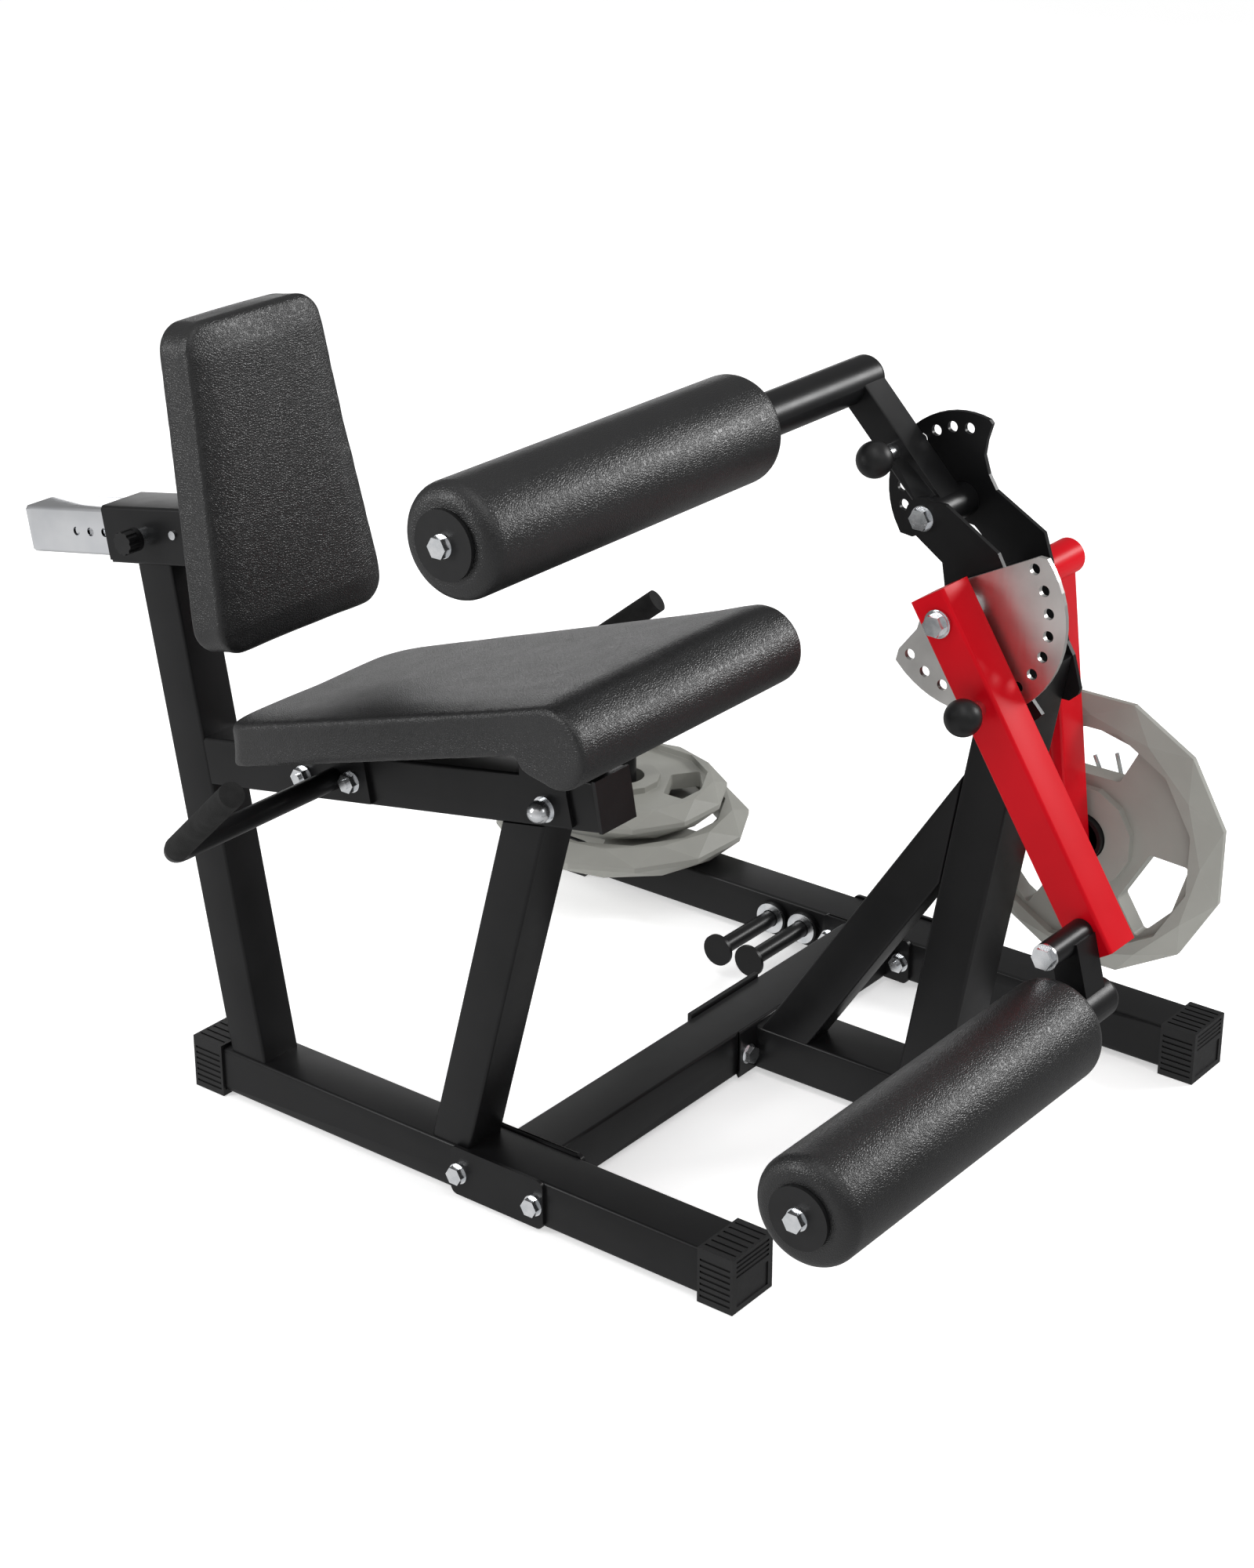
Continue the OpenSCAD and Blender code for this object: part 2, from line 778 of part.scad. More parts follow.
module tower_foot_tube() {
  x0 = foot_flange_x + 5;
  color(steel_black) {
    difference() {
      translate([x0, tower_y0, floor_gap]) cube([foot_tube_end_x - x0, tower_y1 - tower_y0, floor_tube_h]);
      translate([x0 - over, tower_y0 + wall, floor_gap + wall])
        cube([foot_tube_end_x - x0 - wall + over, tower_y1 - tower_y0 - 2 * wall, floor_tube_h - 2 * wall]);
    }
    foot_flange(foot_flange_x, x0);
  }
}

module tower() {
  color(steel_black)
    post([tower_back_x, tower_front_x], floor_tube_top, tower_slope, [0, tower_top], 0, tower_y0, tower_y1, -wall);
}

module tower_brace() {
  slope = 1 / tan(56.9);
  low = [[111.8, floor_tube_top], [171.2, floor_tube_top]];
  back = [tower_back_x, floor_tube_top];
  top = [for (p = low) meet(p, slope, back, 1 / tower_slope)];
  inner = [[low[0][0] + 3.6, floor_tube_top], [low[1][0] - 3.6, floor_tube_top]];
  inner_top = [for (p = inner) meet(p, slope, back, 1 / tower_slope)];
  color(steel_black)
    difference() {
      slab_y(tower_y0, brace_y1) polygon([low[0], low[1], top[1], top[0]]);
      slab_y(tower_y0 + wall, brace_y1 - wall) polygon([inner[0], inner[1], inner_top[1], inner_top[0]]);
    }
}

pivot = [pivot_x, pivot_z];
upper = [upper_x, upper_z];

module head_outline_near() {
  translate(upper) circle(20);
  polygon([
    [288, 684], [314, 683], [326, 676], [373, 648], [380, 636], [389, 624], [417.6, 513], [430, 500],
    [427, 496], [418, 488], [375, 488], [345, 545], [318, 590], [316.6, 605], [313, 626], [280, 648]
  ]);
}

// The far plate carries a fan with an arc of holes around the upper pivot
module head_outline_far() {
  arc = [for (a = [74 : 6.55 : 205]) polar(upper, fan_r, a)];
  polygon(concat(
    [[317, 745], [312, 728], [310, 713], [316, 695], [325, 681], [380, 650], [389, 624], [411.5, 547],
     [419, 535], [429, 502], [427, 496], [418, 488], [375, 488], [345, 545], [318, 590], [316.6, 605],
     [319, 627], [303, 641], [289.5, 643], [233, 614.5], [219, 616]],
    [for (i = [len(arc) - 1 : -1 : 0]) arc[i]]
  ));
}

module head_plate_near() {
  y0 = tower_y0 - head_t;
  color(steel_black)
    difference() {
      union() {
        slab_y(y0, tower_y0) head_outline_near();
        rod_y(pivot_x, pivot_z, 21, tower_y0, tower_y1);
      }
      rod_y(pivot_x, pivot_z, axle_r + play, y0 - over, tower_y1 + over);
      rod_y(upper_x, upper_z, link_bolt_r + play, y0 - over, tower_y0 + over);
    }
}

module head_plate_far() {
  fan_angles = [for (a = [88 : 15.5 : 197]) a];
  color(steel_black)
    difference() {
      slab_y(tower_y1, tower_y1 + head_t) head_outline_far();
      rod_y(pivot_x, pivot_z, axle_r + play, tower_y1 - over, tower_y1 + head_t + over);
      rod_y(upper_x, upper_z, link_bolt_r + play, tower_y1 - over, tower_y1 + head_t + over);
      for (a = fan_angles) {
        hole = polar(upper, fan_hole_circle, a);
        rod_y(hole[0], hole[1], disc_hole_r, tower_y1 - over, tower_y1 + head_t + over);
      }
    }
}

module storage_post() {
  color(steel_black) {
    translate([storage[0], storage[1], floor_tube_top]) cylinder(h = storage_top - floor_tube_top, r = storage_r);
    translate([storage[0], storage[1], floor_tube_top]) cylinder(h = storage_disc_t, r = 28);
  }
}

// Weights ----------------------------------------------------------------------------------

plate_bore_r = 25.5;
plate_sides = 12;

// Cast twelve-sided plate: a faceted rim, a raised hub and a thin web with three windows
module cast_plate(r, t) {
  recess = t * 0.22;
  web_out = 0.81 * r;
  hub = 0.36 * r;
  skin = 0.1;
  half_side = 180 / plate_sides;
  difference() {
    hull() {
      for (z = [0, t - skin])
        rotate(half_side) translate([0, 0, z]) cylinder(h = skin, r = 0.87 * r, $fn = plate_sides);
      translate([0, 0, t / 2 - 3]) cylinder(h = 6, r = r, $fn = plate_sides);
    }
    translate([0, 0, -over]) cylinder(h = t + 2 * over, r = plate_bore_r);
    for (z = [-over, t - recess])
      translate([0, 0, z]) difference() {
        cylinder(h = recess + over, r = web_out, $fn = plate_sides);
        translate([0, 0, -over]) cylinder(h = recess + 3 * over, r = hub, $fn = plate_sides);
      }
    for (a = [0, 120, 240])
      rotate(a + half_side) translate([0, 0, -over]) linear_extrude(t + 2 * over) window_outline(0.48 * r, 0.77 * r);
  }
}

// Window between two radii, centred on +X
module window_outline(r0, r1) {
  spread = 27;
  rounded([
    polar([0, 0], r0, -spread), polar([0, 0], r1, -spread), polar([0, 0], r1, 0),
    polar([0, 0], r1, spread), polar([0, 0], r0, spread)
  ], 4);
}

module loaded_plate() {
  color(plate_grey)
    translate([horn[0], plate_y0, horn[1]])
      rotate([-90, 0, 0]) rotate(-105) cast_plate(plate_r, plate_t);
}

module stored_plate_lower() {
  color(plate_grey)
    translate([storage[0], storage[1], floor_tube_top + storage_disc_t])
      rotate(13) cast_plate(plate_r, plate_t);
}

module stored_plate_upper() {
  color(plate_grey)
    translate([storage[0], storage[1], floor_tube_top + storage_disc_t + plate_t])
      rotate(13) cast_plate(small_plate_r, plate_t - 2);
}

// Wire spring collar: close turns round the horn and two finger tabs
module spring_collar() {
  wire = 2.2;
  y0 = plate_y0 + plate_t + wire + 0.2;
  ring_r = horn_r + wire + 0.3;
  color(chrome) {
    for (i = [0 : 3])
      translate([horn[0], y0 + i * 2 * wire, horn[1]])
        rotate([90, 0, 0]) rotate_extrude() translate([ring_r, 0]) circle(wire);
    rod_between([horn[0] + 8, y0, horn[1] + ring_r], [horn[0] - 14, y0, horn[1] + 72], wire);
    rod_between([horn[0] + 22, y0 + 6 * wire, horn[1] + 15], [horn[0] + 4, y0 + 6 * wire, horn[1] + 74], wire);
  }
}

// Lever ------------------------------------------------------------------------------------

roller_way = [cos(roller_arm_dir), sin(roller_arm_dir)];
link_pivot = pivot + link_pivot_r * roller_way;
roller_pin = pivot + disc_hole_circle * roller_way;
upper_way = [cos(upper_arm_dir), sin(upper_arm_dir)];
upper_pin = upper + fan_hole_circle * upper_way;

module main_axle() {
  color(chrome) {
    rod_y(pivot_x, pivot_z, axle_r, axle_y0, axle_y1);
    rod_y(pivot_x, pivot_z, 17, disc_y1, tower_y0 - head_t - 0.1);
    rod_y(pivot_x, pivot_z, 17, arm_y1 + 0.2, disc_y0);
  }
}

// Half disc with an arc of holes and one straight edge behind the pivot
module selector_outline() {
  straight = [[275, 523], [278, 535], [297.5, 560], [308, 596], [346, 620], [425.5, 660.7]];
  arc = [for (a = [39 : -6.25 : -136]) polar(pivot, disc_r, a)];
  polygon(concat(straight, arc));
}

module selector_disc() {
  color(bare_steel)
    difference() {
      slab_y(disc_y0, disc_y1) selector_outline();
      rod_y(pivot_x, pivot_z, axle_r, disc_y0 - over, disc_y1 + over);
      for (i = [0 : 12]) {
        hole = polar(pivot, disc_hole_circle, 38 - i * disc_step);
        rod_y(hole[0], hole[1], disc_hole_r, disc_y0 - over, disc_y1 + over);
      }
    }
}

module weight_arm() {
  start = pivot + [-9.9, -1.3];
  color(steel_red)
    difference() {
      union() {
        rod_y(pivot_x, pivot_z, hub_r, hub_y0, hub_y1);
        hollow_beam(start, weight_arm_dir, 322, 41, weight_arm_y0, weight_arm_y1);
      }
      rod_y(pivot_x, pivot_z, axle_r, hub_y0 - over, axle_y1);
    }
}

module weight_horn() {
  y0 = weight_arm_y1;
  color(steel_black)
    difference() {
      rod_y(horn[0], horn[1], horn_r, y0, y0 + horn_len);
      rod_y(horn[0], horn[1], horn_r - 4, y0 - over, y0 + horn_len - 5);
    }
}

module roller_arm() {
  start = pivot - roller_arm_back * roller_way;
  color(steel_red)
    difference() {
      union() {
        hollow_beam(start, roller_arm_dir, roller_arm_len + roller_arm_back, roller_arm_w, arm_y0, arm_y1);
        rod_y(pivot_x, pivot_z, 17, arm_y0, arm_y1);
        rod_y(roller_pin[0], roller_pin[1], 9, arm_y0, arm_y1);
        rod_y(link_pivot[0], link_pivot[1], link_tube_r, arm_y0, arm_y1);
      }
      rod_y(pivot_x, pivot_z, axle_r + play, arm_y0 - over, arm_y1 + over);
      rod_y(roller_pin[0], roller_pin[1], pop_pin_r + play, arm_y0 - over, arm_y1 + over);
      rod_y(link_pivot[0], link_pivot[1], link_bolt_r, arm_y0 - over, arm_y1 + over);
    }
}

module roller_arm_pivot_bolt() {
  color(chrome) {
    rod_y(pivot_x, pivot_z, 14, axle_y0 - 2.4, axle_y0);
    rod_y(pivot_x, pivot_z, 13, axle_y0 - 4.6, axle_y0 - 2.4);
    hex_y(pivot_x, pivot_z, axle_y0 - 11.6, axle_y0 - 4.6, 19);
  }
}

// Pull pin: tip_y is its tip, ball_y the centre of its ball knob
module pop_pin(at, tip_y, ball_y) {
  rod_y(at[0], at[1], pop_pin_r, ball_y + knob_r - 8, tip_y);
}

// Ball with a blind socket for its pin
module ball_knob(at, ball_y) {
  translate([at[0], ball_y, at[1]])
    rotate([-90, 0, 0])
      rotate_extrude()
        difference() {
          intersection() {
            circle(knob_r);
            translate([0, -knob_r]) square([knob_r, 2 * knob_r]);
          }
          translate([0, knob_r - 8]) square([pop_pin_r, 9]);
        }
}

roller_ball_y = -69;
upper_ball_y = 12.6;

module roller_arm_pin() {
  color(chrome) {
    pop_pin(roller_pin, disc_y0 - 0.5, roller_ball_y);
    rod_y(roller_pin[0], roller_pin[1], 8.5, arm_y0 - 7.5, arm_y0 - 0.2);
  }
}

module roller_arm_pin_knob() {
  color(rubber_black) ball_knob(roller_pin, roller_ball_y);
}

// Link under the roller arm: a bushing, a bar and the saddle for the roller's shaft
module link_bar() {
  reach = lower_roller - link_pivot;
  angle = atan2(reach[1], reach[0]);
  color(steel_black)
    difference() {
      union() {
        rod_y(link_pivot[0], link_pivot[1], link_tube_r, -106, arm_y0 - 0.4);
        beam(link_pivot, angle, norm(reach), 30, -76, arm_y0 - 0.4);
      }
      rod_y(link_pivot[0], link_pivot[1], link_bolt_r + play, -110, arm_y0 + over);
      rod_y(lower_roller[0], lower_roller[1], shaft_r, -80, arm_y0 + over);
    }
}

module link_bolt() {
  x = link_pivot[0];
  z = link_pivot[1];
  color(chrome) {
    rod_y(x, z, link_bolt_r, -106.4, 11);
    rod_y(x, z, 13, -108.9, -106.4);
    hex_y(x, z, -115, -108.9, 19);
    difference() {
      union() {
        rod_y(x, z, 13, arm_y1, arm_y1 + 2);
        hex_y(x, z, arm_y1 + 2, arm_y1 + 8, 19);
      }
      rod_y(x, z, link_bolt_r, arm_y1 - over, arm_y1 + 12);
    }
  }
}

// Hollow shaft of a roller, closed and rounded at its inner end
module roller_shaft(at, r, y0, y1) {
  round_r = 8;
  translate([at[0], y0, at[1]])
    rotate([-90, 0, 0])
      rotate_extrude() {
        translate([r - 3, 0]) square([3, y1 - y0 - round_r]);
        translate([0, y1 - y0 - round_r]) square([r - round_r, round_r]);
        intersection() {
          translate([r - round_r, y1 - y0 - round_r]) circle(round_r);
          translate([r - round_r, y1 - y0 - round_r]) square([round_r, round_r]);
        }
      }
}

// Soft roller with rounded ends
module roller_pad(at, bore, y0, y1) {
  edge = 16;
  length = y1 - y0;
  translate([at[0], y0, at[1]])
    rotate([-90, 0, 0])
      rotate_extrude() {
        translate([bore, 0]) square([roller_r - edge - bore, length]);
        translate([bore, edge]) square([roller_r - bore, length - 2 * edge]);
        for (z = [edge, length - edge])
          intersection() {
            translate([roller_r - edge, z]) circle(edge);
            translate([roller_r - edge, z - edge]) square([edge, 2 * edge]);
          }
      }
}

// Plastic disc that keeps a roller on its shaft
module roller_end(at, r, y1) {
  color(rubber_black) rod_y(at[0], at[1], r, y1 - 4, y1);
}

// Washer and bolt head on the disc of a roller
module roller_bolt(at, y1) {
  color(chrome) {
    rod_y(at[0], at[1], 10.5, y1 - 5.5, y1 - 4);
    hex_y(at[0], at[1], y1 - 12.5, y1 - 5.5);
  }
}

module lower_roller_shaft() {
  color(steel_black) roller_shaft(lower_roller, shaft_r, lower_roller_y0, -26);
}

module lower_roller_pad() {
  color(pad_black)
    roller_pad(lower_roller, shaft_r + soft_gap, lower_roller_y0 + soft_gap, lower_roller_y1);
}

module lower_roller_end() {
  roller_end(lower_roller, 29.4, lower_roller_y0);
}

module lower_roller_bolt() {
  roller_bolt(lower_roller, lower_roller_y0);
}

module upper_arm() {
  reach = norm(upper_roller - upper);
  color(steel_black)
    difference() {
      union() {
        hollow_beam(upper, upper_arm_dir, reach, upper_arm_w, upper_arm_y0, upper_arm_y1);
        rod_y(upper_x, upper_z, 17, tower_y0 + 0.3, tower_y1 - 0.3);
        rod_y(upper_pin[0], upper_pin[1], 9, upper_arm_y0, upper_arm_y1);
      }
      rod_y(upper_x, upper_z, link_bolt_r + play, tower_y0 - over, tower_y1 + over);
      rod_y(upper_pin[0], upper_pin[1], pop_pin_r + play, upper_arm_y0 - over, upper_arm_y1 + over);
      rod_y(upper_roller[0], upper_roller[1], 21.4, upper_arm_y0 - over, upper_arm_y1 + over);
    }
}

module upper_pivot_bolt() {
  y0 = tower_y0 - head_t;
  y1 = tower_y1 + head_t;
  color(chrome) {
    rod_y(upper_x, upper_z, link_bolt_r, y0, y1 + 12);
    rod_y(upper_x, upper_z, 12.4, y0 - 2.4, y0);
    hex_y(upper_x, upper_z, y0 - 9.2, y0 - 2.4, 19);
    difference() {
      union() {
        rod_y(upper_x, upper_z, 13, y1, y1 + 2);
        hex_y(upper_x, upper_z, y1 + 2, y1 + 10, 19);
      }
      rod_y(upper_x, upper_z, link_bolt_r, y1 - over, y1 + 12);
    }
  }
}

module upper_arm_pin() {
  color(chrome) {
    pop_pin(upper_pin, tower_y1 - 0.5, upper_ball_y);
    rod_y(upper_pin[0], upper_pin[1], 8.5, upper_arm_y0 - 14, upper_arm_y0 - 0.2);
  }
}

module upper_arm_pin_knob() {
  color(rubber_black) ball_knob(upper_pin, upper_ball_y);
}

module upper_roller_shaft() {
  color(steel_black) roller_shaft(upper_roller, 21.4, upper_roller_y0, upper_shaft_end_y);
}

module upper_roller_pad() {
  color(pad_black) roller_pad(upper_roller, 21.4 + soft_gap, upper_roller_y0 + soft_gap, upper_roller_y1);
}

module upper_roller_end() {
  roller_end(upper_roller, 30.8, upper_roller_y0);
}

module upper_roller_bolt() {
  roller_bolt(upper_roller, upper_roller_y0);
}

near_base_tube();
far_base_tube();
foot_caps();
cross_tube();
clamp_plates();
base_bolts();
base_nuts();
tower_foot_tube();
rear_post();
front_post();
seat_tube();
seat_tube_cap();
seat_bracket_rear();
seat_bracket_front();
seat_pad();
receiver();
seat_frame_fasteners();
adjusting_tube();
backrest_plate();
backrest_pad();
receiver_pin();
receiver_pin_knob();
handle_tube_left();
handle_tube_right();
grip_left();
grip_right();
handle_plates();
tower();
tower_brace();
head_plate_near();
head_plate_far();
storage_post();
band_pegs();
peg_washers();
stored_plate_lower();
stored_plate_upper();
main_axle();
selector_disc();
weight_arm();
weight_horn();
loaded_plate();
spring_collar();
roller_arm();
roller_arm_pivot_bolt();
roller_arm_pin();
roller_arm_pin_knob();
link_bar();
link_bolt();
lower_roller_shaft();
lower_roller_pad();
lower_roller_end();
lower_roller_bolt();
upper_arm();
upper_pivot_bolt();
upper_arm_pin();
upper_arm_pin_knob();
upper_roller_shaft();
upper_roller_pad();
upper_roller_end();
upper_roller_bolt();
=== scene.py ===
"""Leg extension machine: finishes, padded pieces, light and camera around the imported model."""

import json
import math

import bpy
import numpy as np
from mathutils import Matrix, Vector


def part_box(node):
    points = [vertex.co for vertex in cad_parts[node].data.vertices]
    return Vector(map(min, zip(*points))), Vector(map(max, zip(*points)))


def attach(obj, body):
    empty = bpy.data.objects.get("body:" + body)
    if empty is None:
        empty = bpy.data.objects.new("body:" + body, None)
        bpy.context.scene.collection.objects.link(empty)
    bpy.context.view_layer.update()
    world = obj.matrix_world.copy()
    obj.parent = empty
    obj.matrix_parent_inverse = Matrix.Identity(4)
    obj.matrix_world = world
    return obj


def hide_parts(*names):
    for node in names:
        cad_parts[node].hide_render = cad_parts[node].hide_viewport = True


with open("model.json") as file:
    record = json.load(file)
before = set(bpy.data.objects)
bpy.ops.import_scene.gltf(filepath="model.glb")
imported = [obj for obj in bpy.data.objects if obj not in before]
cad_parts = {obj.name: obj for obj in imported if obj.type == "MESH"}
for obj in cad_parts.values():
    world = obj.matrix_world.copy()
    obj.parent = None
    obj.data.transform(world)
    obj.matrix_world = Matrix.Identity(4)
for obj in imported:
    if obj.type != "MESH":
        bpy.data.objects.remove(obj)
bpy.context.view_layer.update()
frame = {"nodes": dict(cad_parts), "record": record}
scene = bpy.context.scene
nodes = frame["nodes"]
MM = 0.001
SAME_PLACE = 0.00001  # metres; nearer points count as one
body_of_node = {n: b for b, names in frame["record"]["behaviour"]["bodies"].items() for n in names}
slot_of_node = {s["node"]: s["material_slot"] for s in frame["record"]["subparts"]}

# Camera ---------------------------------------------------------------------------------

CAMERA_PLACE = Vector((1.7250, -2.2711, 1.5932))
CAMERA_AZIMUTH = math.radians(37.944)
CAMERA_ELEVATION = math.radians(24.069)


def make_camera():
    data = bpy.data.cameras.new("camera")
    data.lens = 69.0
    data.sensor_width = 36.0
    data.dof.use_dof = False
    camera = bpy.data.objects.new("camera", data)
    scene.collection.objects.link(camera)
    flat = math.cos(CAMERA_ELEVATION)
    back = Vector((
        math.sin(CAMERA_AZIMUTH) * flat,
        -math.cos(CAMERA_AZIMUTH) * flat,
        math.sin(CAMERA_ELEVATION),
    ))
    camera.location = CAMERA_PLACE
    camera.rotation_mode = "QUATERNION"
    camera.rotation_quaternion = (-back).to_track_quat("-Z", "Y")
    scene.camera = camera


# Shader helpers -------------------------------------------------------------------------


def linear(hex_colour):
    """Linear RGBA of an sRGB hex colour."""
    channels = [int(hex_colour[i : i + 2], 16) / 255 for i in (1, 3, 5)]
    return [c / 12.92 if c <= 0.04045 else ((c + 0.055) / 1.055) ** 2.4 for c in channels] + [1.0]


def add(tree, kind, values=None, links=None, **settings):
    """Adds a node with its settings, input values and links."""
    node = tree.nodes.new(kind)
    for name, value in settings.items():
        setattr(node, name, value)
    for name, value in (values or {}).items():
        node.inputs[name].default_value = value
    for name, socket in (links or {}).items():
        tree.links.new(socket, node.inputs[name])
    return node


def new_material(name, colour, roughness, metallic=0.0, specular=0.5):
    """A bare shader; gives the material, its node tree, the shader and the object coordinates."""
    material = bpy.data.materials.new(name)
    material.use_nodes = True
    tree = material.node_tree
    tree.nodes.clear()
    shader = add(tree, "ShaderNodeBsdfPrincipled", {
        "Base Color": linear(colour), "Roughness": roughness, "Metallic": metallic,
        "Specular IOR Level": specular, "IOR": 1.5,
    })
    add(tree, "ShaderNodeOutputMaterial", links={"Surface": shader.outputs[0]})
    place = add(tree, "ShaderNodeTexCoord")
    return material, tree, shader, place.outputs["Object"]


def per_metre(size_mm):
    """Texture scale that makes features about size_mm apart."""
    return 1000.0 / size_mm


def noise(tree, where, size_mm, detail=3.0, rough=0.5, stretch=None):
    """Noise with features of about size_mm, in object coordinates."""
    if stretch:
        where = add(tree, "ShaderNodeMapping", {"Scale": stretch}, {"Vector": where}).outputs[0]
    values = {"Scale": per_metre(size_mm), "Detail": detail, "Roughness": rough}
    texture = add(tree, "ShaderNodeTexNoise", values, {"Vector": where})
    return texture.outputs["Fac"]


def vary_colour(tree, shader, fac, dark, light, low=0.35, high=0.65):
    ramp = add(tree, "ShaderNodeValToRGB", links={"Fac": fac})
    ramp.color_ramp.elements[0].position = low
    ramp.color_ramp.elements[1].position = high
    ramp.color_ramp.elements[0].color = linear(dark)
    ramp.color_ramp.elements[1].color = linear(light)
    tree.links.new(ramp.outputs["Color"], shader.inputs["Base Color"])


def vary_roughness(tree, shader, fac, low, high):
    spread = add(tree, "ShaderNodeMapRange", {"To Min": low, "To Max": high}, {"Value": fac})
    tree.links.new(spread.outputs[0], shader.inputs["Roughness"])


def add_bump(tree, shader, height, depth_mm, strength):
    values = {"Strength": strength, "Distance": depth_mm * MM}
    bump = add(tree, "ShaderNodeBump", values, {"Height": height})
    tree.links.new(bump.outputs[0], shader.inputs["Normal"])


# Materials ------------------------------------------------------------------------------


def black_powder_coat():
    """Satin black powder coat on steel tube: even, with a faint orange peel."""
    material, tree, shader, where = new_material("black_powder_coat", "#131314", 0.34, specular=0.24)
    vary_colour(tree, shader, noise(tree, where, 60), "#111112", "#151516")
    vary_roughness(tree, shader, noise(tree, where, 25), 0.3, 0.4)
    add_bump(tree, shader, noise(tree, where, 1.6, 2.0), 0.05, 0.35)
    return material


def red_powder_coat():
    """Red powder coat on steel tube: clean and saturated, with a soft sheen and faint orange peel."""
    material, tree, shader, where = new_material("red_powder_coat", "#C70818", 0.3, specular=0.1)
    vary_colour(tree, shader, noise(tree, where, 80), "#C30717", "#CB091A")
    vary_roughness(tree, shader, noise(tree, where, 30), 0.28, 0.38)
    add_bump(tree, shader, noise(tree, where, 1.8, 2.0), 0.05, 0.3)
    return material


def rolled_steel():
    """Laser-cut steel plate, zinc finished: fine rolling lines and a satin shine."""
    material, tree, shader, where = new_material("rolled_steel", "#D3D1CE", 0.36, metallic=1.0)
    lines = noise(tree, where, 1.2, 2.0, stretch=(1.0, 1.0, 0.06))
    vary_colour(tree, shader, noise(tree, where, 35), "#CDCBC8", "#DAD8D5")
    vary_roughness(tree, shader, lines, 0.3, 0.44)
    add_bump(tree, shader, lines, 0.02, 0.3)
    return material


def zinc_plate():
    """Bright zinc plating on bolts and nuts: cool, slightly clouded metal."""
    material, tree, shader, where = new_material("zinc_plate", "#E2E4E7", 0.24, metallic=1.0)
    vary_colour(tree, shader, noise(tree, where, 8), "#DADDE0", "#EBECEE")
    vary_roughness(tree, shader, noise(tree, where, 4), 0.18, 0.32)
    add_bump(tree, shader, noise(tree, where, 1.5), 0.02, 0.25)
    return material


def chrome_plate():
    """Polished chrome on the square adjusting tube: a near mirror with faint drawing lines."""
    material, tree, shader, where = new_material("chrome_plate", "#E9EBEE", 0.1, metallic=1.0)
    lines = noise(tree, where, 2.0, 2.0, stretch=(0.04, 1.0, 1.0))
    vary_colour(tree, shader, noise(tree, where, 50), "#E2E4E8", "#EFF0F2")
    vary_roughness(tree, shader, lines, 0.07, 0.16)
    return material


def moulded_pe():
    """Injection-moulded black polyethylene of caps and knobs: soft sheen, spark-eroded texture."""
    material, tree, shader, where = new_material("moulded_pe", "#121213", 0.4, specular=0.35)
    vary_colour(tree, shader, noise(tree, where, 20), "#101011", "#151516")
    vary_roughness(tree, shader, noise(tree, where, 6), 0.36, 0.5)
    add_bump(tree, shader, noise(tree, where, 0.9, 2.0), 0.04, 0.4)
    return material


def foam_rubber():
    """Foam rubber of the hand grips: dull black with fine pores."""
    material, tree, shader, where = new_material("foam_rubber", "#131313", 0.8, specular=0.3)
    pores = add(tree, "ShaderNodeTexVoronoi", {"Scale": per_metre(1.4)}, {"Vector": where})
    vary_colour(tree, shader, noise(tree, where, 12), "#101010", "#1A1A1A")
    add_bump(tree, shader, pores.outputs["Distance"], 0.25, 0.6)
    return material


def pu_leatherette():
    """Pressed-grain polyurethane leatherette: black, pebbled, with a soft wide sheen.
    The grain cells are 2.2 mm, a little coarser than real ones, so that they show."""
    material, tree, shader, where = new_material("pu_leatherette", "#131314", 0.36, specular=0.55)
    cell_mm = 2.2
    warp_mm = 9.0
    shift = 2 * MM
    warp = add(tree, "ShaderNodeTexNoise", {"Scale": per_metre(warp_mm), "Detail": 2.0}, {"Vector": where})
    shifted = add(
        tree, "ShaderNodeVectorMath", {1: (shift, shift, shift)}, {0: warp.outputs["Color"]},
        operation="MULTIPLY",
    )
    moved = add(tree, "ShaderNodeVectorMath", links={0: where, 1: shifted.outputs[0]}, operation="ADD")
    cells = add(
        tree, "ShaderNodeTexVoronoi", {"Scale": per_metre(cell_mm)}, {"Vector": moved.outputs[0]},
        feature="DISTANCE_TO_EDGE",
    )
    grain = add(
        tree, "ShaderNodeMapRange", {"From Max": 0.35}, {"Value": cells.outputs["Distance"]},
        interpolation_type="SMOOTHSTEP",
    )
    creases = noise(tree, where, 5.0, 4.0, 0.6)
    height = add(tree, "ShaderNodeMath", links={0: grain.outputs[0], 1: creases}, operation="ADD")
    vary_colour(tree, shader, noise(tree, where, 70), "#111112", "#151516")
    vary_roughness(tree, shader, noise(tree, where, 30), 0.32, 0.42)
    add_bump(tree, shader, height.outputs[0], 0.26, 0.7)
    return material


def urethane_coat():
    """Grey urethane cast over iron plates: matte, evenly coloured, slightly mottled."""
    material, tree, shader, where = new_material("urethane_coat", "#92928C", 0.5, specular=0.4)
    vary_colour(tree, shader, noise(tree, where, 45, 4.0), "#90908A", "#94948E")
    vary_roughness(tree, shader, noise(tree, where, 15), 0.48, 0.62)
    add_bump(tree, shader, noise(tree, where, 1.2, 3.0), 0.05, 0.35)
    return material


# Shaping helpers ------------------------------------------------------------------------

FLAT_WITHIN = 0.6  # degrees; faces that turn by less are merged into one


def select_only(piece):
    bpy.ops.object.select_all(action="DESELECT")
    piece.select_set(True)
    bpy.context.view_layer.objects.active = piece


def apply_all(piece):
    select_only(piece)
    for name in [m.name for m in piece.modifiers]:
        bpy.ops.object.modifier_apply(modifier=name)


